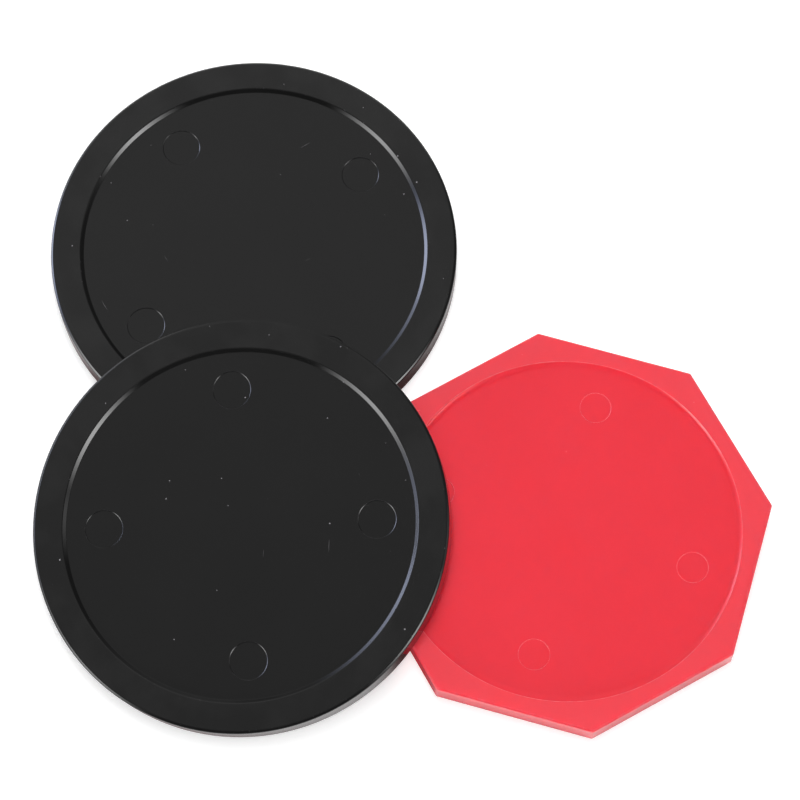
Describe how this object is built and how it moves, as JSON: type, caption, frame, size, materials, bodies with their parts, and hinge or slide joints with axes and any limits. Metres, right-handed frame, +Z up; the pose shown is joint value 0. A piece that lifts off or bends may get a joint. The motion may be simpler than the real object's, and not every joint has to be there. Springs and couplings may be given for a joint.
{
  "type": "air hockey puck set",
  "caption": "Loose set of air hockey pucks, round black and octagonal red, each dished on both faces inside a raised rim; the top puck leans on its neighbours.",
  "frame": {"origin": "middle of the set's footprint, on the table", "axes": "+Z up from the table; +X across the set from the round pucks towards the octagonal one; +Y away from the viewer"},
  "size_m": [0.146, 0.143, 0.0182],
  "materials": {
    "black_plastic": "moulded, semi-gloss",
    "red_plastic": "moulded, translucent, satin"
  },
  "bodies": {
    "flat_round_puck": {"flat_round_puck": "black_plastic"},
    "leaning_round_puck": {"leaning_round_puck": "black_plastic"},
    "octagonal_puck": {"octagonal_puck": "red_plastic"}
  },
  "joints": [
    {"name": "leaning_puck_lift", "type": "slide", "parent": "flat_round_puck", "child": "leaning_round_puck", "axis": [0, 0, 1], "range_m": [0, 0.06]},
    {"name": "octagonal_puck_glide", "type": "slide", "parent": "flat_round_puck", "child": "octagonal_puck", "axis": [1, 0, 0], "range_m": [0, 0.08]}
  ]
}
